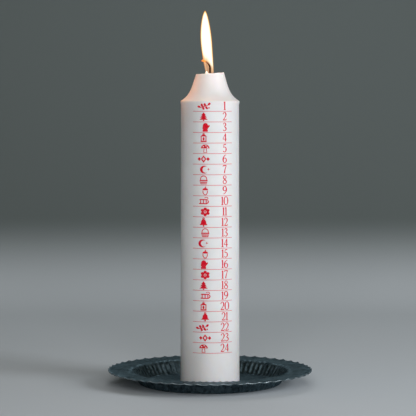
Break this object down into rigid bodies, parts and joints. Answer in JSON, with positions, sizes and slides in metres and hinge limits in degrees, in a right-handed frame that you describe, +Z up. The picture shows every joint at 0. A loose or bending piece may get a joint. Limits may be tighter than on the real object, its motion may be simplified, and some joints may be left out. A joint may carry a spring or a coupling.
{
  "type": "calendar candle",
  "caption": "Lit white calendar candle with a waisted neck and a printed day scale, standing on a round fluted sheet metal plate.",
  "frame": {"origin": "middle of the plate's flat underside, on the table", "axes": "+Z up along the candle's axis, the printed scale faces -Y, the wick curls towards -X"},
  "size_m": [0.1756, 0.1756, 0.3196],
  "materials": {
    "zinc_sheet": "dull grey-blue galvanised sheet",
    "core_wax": "pressed candle wax",
    "coat_wax": "smooth satin white wax",
    "cotton": "waxed cotton braid",
    "char": "charred cotton",
    "ember": "glowing",
    "liquid_wax": "clear liquid wax",
    "dim_flame": "dim inner flame",
    "bright_flame": "luminous flame",
    "red_ink": "red print"
  },
  "bodies": {
    "plate": {"plate": "zinc_sheet"},
    "candle": {"wax_core": "core_wax", "wax_coat": "coat_wax", "wick_braid": "cotton", "charred_wick": "char", "wick_ember": "ember", "melt_pool": "liquid_wax", "flame_cone": "dim_flame", "flame_mantle": "bright_flame", "day_rules": "red_ink"}
  },
  "joints": [
    {"name": "candle_lift", "type": "slide", "parent": "plate", "child": "candle", "axis": [0, 0, 1], "range_m": [0, 0.06]}
  ]
}
